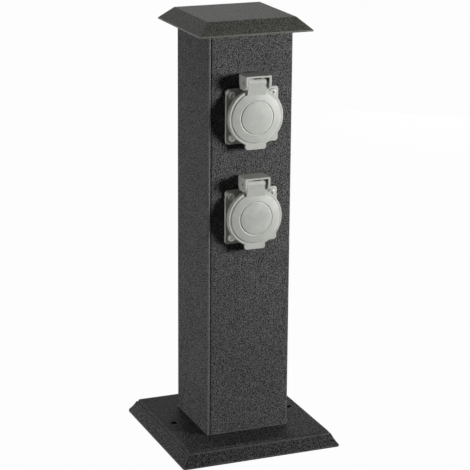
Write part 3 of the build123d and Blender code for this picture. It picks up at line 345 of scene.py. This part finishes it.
line_sleeve = insulation("line_sleeve", (0.16, 0.06, 0.025))
neutral_sleeve = insulation("neutral_sleeve", (0.03, 0.16, 0.50))
earth_sleeve = insulation("earth_sleeve", (0.05, 0.28, 0.06), band=(0.75, 0.62, 0.04))
finish(line_sleeve, "upper_line_wire", "lower_line_wire")
finish(neutral_sleeve, "upper_neutral_wire", "lower_neutral_wire")
finish(earth_sleeve, "upper_earth_wire", "lower_earth_wire", "earth_bond_wire")

# Socket frames and lids: two flanged outlets moulded in light warm-grey plastic, screwed to the
# column's front. Each frame has a hood over the hinge, and its lid is a shallow dome with a tongue
# above and a finger tab below.
sockets = ("upper", "lower")
socket_plastic = moulded_plastic(
    "socket_plastic",
    shade=(0.44, 0.45, 0.42, 1),
    pale=(0.53, 0.54, 0.50, 1),
    roughness=0.48,
    grain=1600.0,
)
for socket in sockets:
    finish(socket_plastic, f"{socket}_socket_frame", f"{socket}_lid")

# Gaskets: a rubber sheet between each flange and the column, and a rubber ring inside each lid
# that closes on the collar.
for socket in sockets:
    finish(seal_rubber, f"{socket}_flange_gasket", f"{socket}_lid_gasket")

# Flange screws, hinge pins and the lids' closing springs: stainless steel. The flange screws
# turn into zinc-plated nuts behind the column's sheet.
stainless = bare_metal(
    "stainless",
    dull=(0.70, 0.69, 0.66, 1),
    bright=(0.90, 0.89, 0.86, 1),
    roughness=0.28,
    grain=700.0,
)
for socket in sockets:
    finish(stainless, f"{socket}_flange_screws", f"{socket}_hinge_pin", f"{socket}_lid_spring")
    finish(zinc_steel, f"{socket}_flange_nuts")

# Contacts: brass sleeves and a bent earth clip in a moulded carrier behind the well's floor. One
# centre screw holds the carrier and the black rear cover, whose wire holes have rubber bushes.
carrier_plastic = moulded_plastic(
    "carrier_plastic",
    shade=(0.34, 0.35, 0.33, 1),
    pale=(0.42, 0.43, 0.40, 1),
    roughness=0.5,
    grain=1300.0,
)
cover_plastic = moulded_plastic(
    "cover_plastic",
    shade=(0.045, 0.045, 0.045, 1),
    pale=(0.075, 0.075, 0.075, 1),
    roughness=0.55,
    grain=1100.0,
    depth=0.00003,
)
for socket in sockets:
    finish(carrier_plastic, f"{socket}_contact_carrier")
    finish(clamp_brass, f"{socket}_pin_contacts", f"{socket}_earth_clip")
    finish(zinc_steel, f"{socket}_terminal_screws", f"{socket}_centre_screw")
    finish(cover_plastic, f"{socket}_rear_cover")
    finish(seal_rubber, f"{socket}_wire_bushes")


# Floor: a wide white sweep of paper under the post. It shows white to the camera and keeps a soft
# shadow round the base plate. In the gloss of the pieces it is dimmer where it lies in front.
def white_backdrop(tree, lit, white, output, white_share, coordinates, front, back):
    """Mix a backdrop's lit look with the plain white that the camera sees, and gloss in part.

    The white in the gloss grows from front to back, two places on the Y axis of the coordinates.
    """
    gloss_share_in_front = 0.30

    rays = tree.nodes.new("ShaderNodeLightPath")
    place = tree.nodes.new("ShaderNodeTexCoord")
    depth = tree.nodes.new("ShaderNodeSeparateXYZ")
    tree.links.new(place.outputs[coordinates], depth.inputs["Vector"])
    whiter = tree.nodes.new("ShaderNodeMapRange")
    whiter.inputs["From Min"].default_value = front
    whiter.inputs["From Max"].default_value = back
    whiter.inputs["To Min"].default_value = gloss_share_in_front
    tree.links.new(depth.outputs["Y"], whiter.inputs["Value"])
    in_gloss = tree.nodes.new("ShaderNodeMath")
    in_gloss.operation = "MULTIPLY"
    tree.links.new(rays.outputs["Is Glossy Ray"], in_gloss.inputs[0])
    tree.links.new(whiter.outputs["Result"], in_gloss.inputs[1])
    seen = tree.nodes.new("ShaderNodeMath")
    seen.operation = "MAXIMUM"
    tree.links.new(rays.outputs["Is Camera Ray"], seen.inputs[0])
    tree.links.new(in_gloss.outputs["Value"], seen.inputs[1])
    share = tree.nodes.new("ShaderNodeMath")
    share.operation = "MULTIPLY"
    share.inputs[1].default_value = white_share
    tree.links.new(seen.outputs["Value"], share.inputs[0])
    mixed = tree.nodes.new("ShaderNodeMixShader")
    tree.links.new(share.outputs["Value"], mixed.inputs[0])
    tree.links.new(lit.outputs[0], mixed.inputs[1])
    tree.links.new(white.outputs[0], mixed.inputs[2])
    tree.links.new(mixed.outputs[0], output.inputs["Surface"])


floor_half = 6.0
floor_mesh = bpy.data.meshes.new("paper_floor")
floor_mesh.from_pydata(
    [
        (-floor_half, -floor_half, 0),
        (floor_half, -floor_half, 0),
        (floor_half, floor_half, 0),
        (-floor_half, floor_half, 0),
    ],
    [],
    [(0, 1, 2, 3)],
)
floor = bpy.data.objects.new("paper_floor", floor_mesh)
bpy.context.scene.collection.objects.link(floor)
paper = bpy.data.materials.new("white_paper")
paper.use_nodes = True
paper_tree = paper.node_tree
paper_skin = paper_tree.nodes["Principled BSDF"]
paper_skin.inputs["Base Color"].default_value = (0.1, 0.1, 0.1, 1)
paper_skin.inputs["Roughness"].default_value = 0.9
paper_white = paper_tree.nodes.new("ShaderNodeEmission")
paper_white.inputs["Strength"].default_value = 1.0
white_backdrop(
    paper_tree,
    lit=paper_skin,
    white=paper_white,
    output=paper_tree.nodes["Material Output"],
    white_share=0.98,
    coordinates="Object",
    front=-0.5,
    back=0.3,
)
floor_mesh.materials.append(paper)


# Lamps: a soft key lamp on the right in front, just above the cap's height, a small one low on
# the left, and faint ones behind on the left and over the cap. One low behind on the right lights
# the back, and no gloss shows it, so that the base plate's flat has no glare.
def soft_lamp(name, place, aim, size, power):
    """Square soft box that points from its place to its aim, in metres, with power in watts."""
    lamp_data = bpy.data.lights.new(name, "AREA")
    lamp_data.size = size
    lamp_data.energy = power
    lamp = bpy.data.objects.new(name, lamp_data)
    bpy.context.scene.collection.objects.link(lamp)
    lamp.location = place
    lamp.visible_camera = False
    away = lamp.location - Vector(aim)
    lamp.rotation_euler = away.to_track_quat("Z", "Y").to_euler()
    return lamp


post_foot = (0, 0, 0.05)
post_middle = (0, 0, 0.25)
over_cap = (0, 0, 0.60)
soft_lamp("key_lamp", place=(0.72, -0.66, 0.42), aim=over_cap, size=0.24, power=12.2)
soft_lamp("left_lamp", place=(-0.72, 0.0, 0.07), aim=post_foot, size=0.10, power=2.1)
soft_lamp("side_lamp", place=(-0.30, 0.95, 0.20), aim=post_middle, size=0.3, power=1.0)
soft_lamp("top_lamp", place=(0.0, 0.35, 0.85), aim=post_middle, size=0.2, power=0.8)
back_lamp = soft_lamp(
    "back_lamp", place=(0.85, 1.1, 0.12), aim=post_middle, size=0.4, power=9.0
)
back_lamp.visible_glossy = False

# Room: a weak even light from all sides. Like the floor it shows white to the camera, and in the
# gloss of the pieces it is dimmer in front.
room_light = 0.04
room = bpy.data.worlds.new("studio_room")
bpy.context.scene.world = room
room.use_nodes = True
room_tree = room.node_tree
even_light = room_tree.nodes["Background"]
even_light.inputs["Color"].default_value = (1, 1, 1, 1)
even_light.inputs["Strength"].default_value = room_light
white_wall = room_tree.nodes.new("ShaderNodeBackground")
white_wall.inputs["Color"].default_value = (1, 1, 1, 1)
white_wall.inputs["Strength"].default_value = 1.0
white_backdrop(
    room_tree,
    lit=even_light,
    white=white_wall,
    output=room_tree.nodes["World Output"],
    white_share=1.0,
    coordinates="Generated",
    front=-0.4,
    back=0.4,
)
